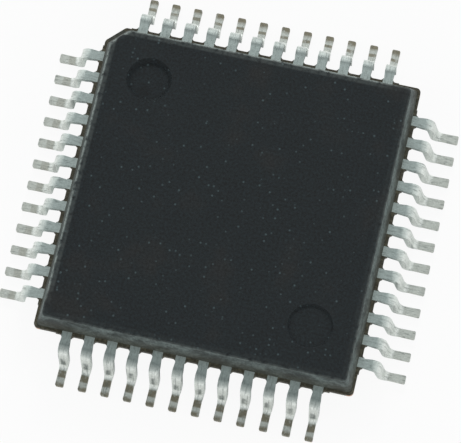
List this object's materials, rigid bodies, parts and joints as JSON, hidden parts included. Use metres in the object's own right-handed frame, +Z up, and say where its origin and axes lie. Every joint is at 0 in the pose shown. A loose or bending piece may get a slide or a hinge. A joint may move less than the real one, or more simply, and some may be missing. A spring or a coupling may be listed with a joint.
{
  "type": "quad flat package chip",
  "caption": "Square moulded chip package with a chamfered index corner, a round index dimple and gull-wing leads fanning out on every side, for soldering flat to a board.",
  "frame": {"origin": "middle of the package on the seating plane, under the solder feet", "axes": "+Z up out of the board through the marked face; the chamfered pin 1 corner is at -X, +Y"},
  "size_m": [0.009, 0.009, 0.0013],
  "materials": {
    "mould_compound": "silica-filled epoxy mould compound, charcoal, finely matt from the spark-eroded mould",
    "tinned_lead": "copper alloy with a matt tin plating, bare and a little browned on the cut edges and toes",
    "copper_frame": "bare rolled copper alloy, satin",
    "silver_epoxy": "silver-filled epoxy adhesive, matt grey",
    "silicon": "polished silicon",
    "gold_wire": "drawn gold wire, bright"
  },
  "bodies": {
    "root": {"moulded_body": "mould_compound", "die_paddle": "copper_frame", "die_attach": "silver_epoxy", "silicon_die": "silicon", "bond_wires": "gold_wire", "lead_01": "tinned_lead", "lead_02": "tinned_lead", "lead_03": "tinned_lead", "lead_04": "tinned_lead", "lead_05": "tinned_lead", "lead_06": "tinned_lead", "lead_07": "tinned_lead", "lead_08": "tinned_lead", "lead_09": "tinned_lead", "lead_10": "tinned_lead", "lead_11": "tinned_lead", "lead_12": "tinned_lead", "lead_13": "tinned_lead", "lead_14": "tinned_lead", "lead_15": "tinned_lead", "lead_16": "tinned_lead", "lead_17": "tinned_lead", "lead_18": "tinned_lead", "lead_19": "tinned_lead", "lead_20": "tinned_lead", "lead_21": "tinned_lead", "lead_22": "tinned_lead", "lead_23": "tinned_lead", "lead_24": "tinned_lead", "lead_25": "tinned_lead", "lead_26": "tinned_lead", "lead_27": "tinned_lead", "lead_28": "tinned_lead", "lead_29": "tinned_lead", "lead_30": "tinned_lead", "lead_31": "tinned_lead", "lead_32": "tinned_lead", "lead_33": "tinned_lead", "lead_34": "tinned_lead", "lead_35": "tinned_lead", "lead_36": "tinned_lead", "lead_37": "tinned_lead", "lead_38": "tinned_lead", "lead_39": "tinned_lead", "lead_40": "tinned_lead", "lead_41": "tinned_lead", "lead_42": "tinned_lead", "lead_43": "tinned_lead", "lead_44": "tinned_lead", "lead_45": "tinned_lead", "lead_46": "tinned_lead", "lead_47": "tinned_lead", "lead_48": "tinned_lead"}
  },
  "joints": []
}
